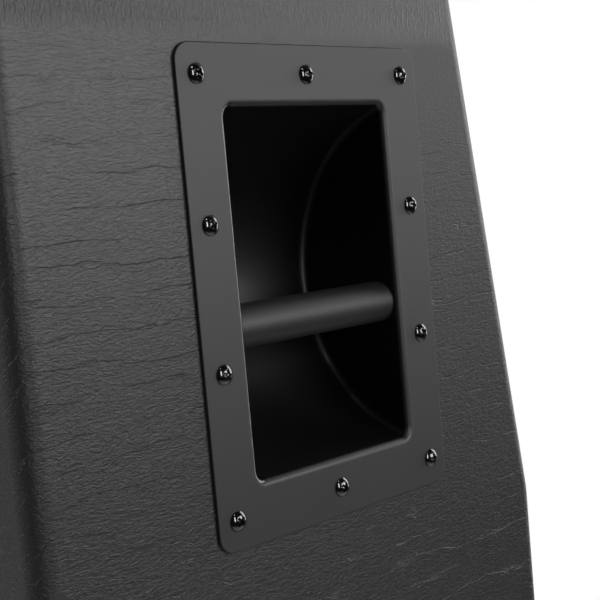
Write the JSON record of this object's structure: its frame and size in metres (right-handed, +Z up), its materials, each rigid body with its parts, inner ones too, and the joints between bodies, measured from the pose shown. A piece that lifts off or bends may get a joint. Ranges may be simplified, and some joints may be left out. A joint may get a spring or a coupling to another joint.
{
  "type": "guitar speaker cabinet",
  "caption": "Closed-back slant-front guitar speaker cabinet in black grained vinyl, with recessed steel bar handles, corner caps, a cloth grille, sprung speaker cones and rear jack sockets.",
  "frame": {"origin": "on the floor, under the middle of the cabinet's width and base depth", "axes": "+X to the cabinet's right as seen from the front, front towards -Y, +Z up"},
  "size_m": [0.77, 0.3832, 0.784],
  "materials": {
    "plywood": "sanded",
    "pine": "sawn",
    "grained_vinyl": "grained black vinyl",
    "powder_coated_steel": "satin black powder coat",
    "black_screw": "glossy black",
    "corner_plastic": "fine-grained black",
    "foot_rubber": "matt",
    "grille_cloth": "black woven cloth",
    "piping": "smooth black bead",
    "dish_plastic": "satin black",
    "jack_plastic": "gloss black",
    "nickel": "bright nickel",
    "frame_steel": "dark grey paint",
    "magnet_iron": "zinc-plated plates and bare ferrite",
    "cone_paper": "pressed pulp",
    "suspension_cloth": "doped cloth",
    "gasket_card": "pressed fibre",
    "zinc_steel": "zinc plated",
    "tag_brass": "tinned tags on a fibre block"
  },
  "bodies": {
    "cabinet": {"back_cleats": "pine", "back_left_foot": "foot_rubber", "back_panel": "plywood", "back_panel_screws": "black_screw", "back_panel_vinyl": "grained_vinyl", "back_right_foot": "foot_rubber", "baffle_cleats": "pine", "bottom_back_left_corner_cap": "corner_plastic", "bottom_back_right_corner_cap": "corner_plastic", "bottom_front_left_corner_cap": "corner_plastic", "bottom_front_right_corner_cap": "corner_plastic", "bottom_panel": "plywood", "centre_post": "pine", "corner_screws": "black_screw", "foot_screws": "zinc_steel", "front_left_foot": "foot_rubber", "front_right_foot": "foot_rubber", "grille_piping": "piping", "handle_screws": "black_screw", "jack_dish": "dish_plastic", "jack_dish_screws": "black_screw", "jack_nuts": "nickel", "jack_sockets": "jack_plastic", "left_handle_bar": "powder_coated_steel", "left_handle_dish": "powder_coated_steel", "left_side_panel": "plywood", "lower_baffle": "plywood", "lower_grille_cloth": "grille_cloth", "lower_grille_frame": "plywood", "lower_left_magnet": "magnet_iron", "lower_left_speaker_frame": "frame_steel", "lower_left_suspension": "suspension_cloth", "lower_right_magnet": "magnet_iron", "lower_right_speaker_frame": "frame_steel", "lower_right_suspension": "suspension_cloth", "right_handle_bar": "powder_coated_steel", "right_handle_dish": "powder_coated_steel", "right_side_panel": "plywood", "speaker_bolts": "zinc_steel", "speaker_gaskets": "gasket_card", "speaker_terminals": "tag_brass", "top_back_left_corner_cap": "corner_plastic", "top_back_right_corner_cap": "corner_plastic", "top_front_left_corner_cap": "corner_plastic", "top_front_right_corner_cap": "corner_plastic", "top_panel": "plywood", "upper_baffle": "plywood", "upper_grille_cloth": "grille_cloth", "upper_grille_frame": "plywood", "upper_left_magnet": "magnet_iron", "upper_left_speaker_frame": "frame_steel", "upper_left_suspension": "suspension_cloth", "upper_right_magnet": "magnet_iron", "upper_right_speaker_frame": "frame_steel", "upper_right_suspension": "suspension_cloth", "vinyl_covering": "grained_vinyl"},
    "lower_left_cone": {"lower_left_cone": "cone_paper"},
    "lower_right_cone": {"lower_right_cone": "cone_paper"},
    "upper_left_cone": {"upper_left_cone": "cone_paper"},
    "upper_right_cone": {"upper_right_cone": "cone_paper"}
  },
  "joints": [
    {"name": "lower_left_cone_travel", "type": "slide", "parent": "cabinet", "child": "lower_left_cone", "axis": [0, -1, 0], "range_m": [-0.004, 0.004], "stiffness_N_per_m": 2500, "deforming": ["lower_left_suspension"]},
    {"name": "lower_right_cone_travel", "type": "slide", "parent": "cabinet", "child": "lower_right_cone", "axis": [0, -1, 0], "range_m": [-0.004, 0.004], "stiffness_N_per_m": 2500, "deforming": ["lower_right_suspension"]},
    {"name": "upper_left_cone_travel", "type": "slide", "parent": "cabinet", "child": "upper_left_cone", "axis": [0, -0.9908, 0.135], "range_m": [-0.004, 0.004], "stiffness_N_per_m": 2500, "deforming": ["upper_left_suspension"]},
    {"name": "upper_right_cone_travel", "type": "slide", "parent": "cabinet", "child": "upper_right_cone", "axis": [0, -0.9908, 0.135], "range_m": [-0.004, 0.004], "stiffness_N_per_m": 2500, "deforming": ["upper_right_suspension"]}
  ]
}
